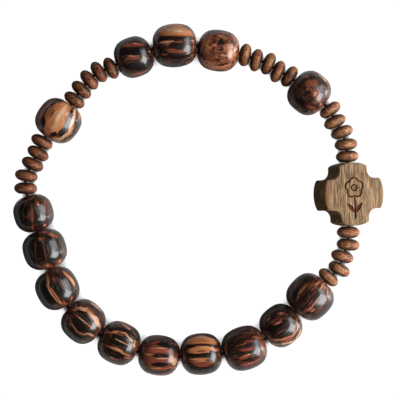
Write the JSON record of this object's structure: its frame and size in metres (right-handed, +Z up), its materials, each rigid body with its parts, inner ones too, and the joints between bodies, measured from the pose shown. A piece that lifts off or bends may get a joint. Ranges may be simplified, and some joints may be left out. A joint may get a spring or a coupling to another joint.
{
  "type": "rosary bracelet",
  "caption": "Stretch rosary bracelet of glossy streaked palmwood beads, small flat wooden spacer beads and a thick wooden cross bead with an engraved rose, on an elastic cord.",
  "frame": {"origin": "on the surface it lies on, under the middle of the loop's bounding box", "axes": "+Z up off the surface and through the wrist hollow, +X to the cross bead, +Y along the cross bead's bore towards the top of its face"},
  "size_m": [0.0704, 0.0672, 0.0092],
  "materials": {
    "palmwood": "polished gloss",
    "spacer_wood": "satin",
    "cross_wood": "fine sanded",
    "elastic": "satin"
  },
  "bodies": {
    "root": {"cross_bead": "cross_wood", "spacer_bead_01": "spacer_wood", "spacer_bead_02": "spacer_wood", "spacer_bead_03": "spacer_wood", "spacer_bead_04": "spacer_wood", "spacer_bead_05": "spacer_wood", "spacer_bead_06": "spacer_wood", "spacer_bead_07": "spacer_wood", "spacer_bead_08": "spacer_wood", "spacer_bead_09": "spacer_wood", "spacer_bead_10": "spacer_wood", "spacer_bead_11": "spacer_wood", "spacer_bead_12": "spacer_wood", "spacer_bead_13": "spacer_wood", "spacer_bead_14": "spacer_wood", "spacer_bead_15": "spacer_wood", "spacer_bead_16": "spacer_wood", "spacer_bead_17": "spacer_wood", "spacer_bead_18": "spacer_wood", "spacer_bead_19": "spacer_wood", "spacer_bead_20": "spacer_wood", "spacer_bead_21": "spacer_wood", "spacer_bead_22": "spacer_wood", "spacer_bead_23": "spacer_wood", "spacer_bead_24": "spacer_wood", "spacer_bead_25": "spacer_wood", "palm_bead_01": "palmwood", "palm_bead_02": "palmwood", "palm_bead_03": "palmwood", "palm_bead_04": "palmwood", "palm_bead_05": "palmwood", "palm_bead_06": "palmwood", "palm_bead_07": "palmwood", "palm_bead_08": "palmwood", "palm_bead_09": "palmwood", "palm_bead_10": "palmwood", "palm_bead_11": "palmwood", "palm_bead_12": "palmwood", "palm_bead_13": "palmwood", "palm_bead_14": "palmwood", "palm_bead_15": "palmwood", "elastic_cord": "elastic"}
  },
  "joints": []
}
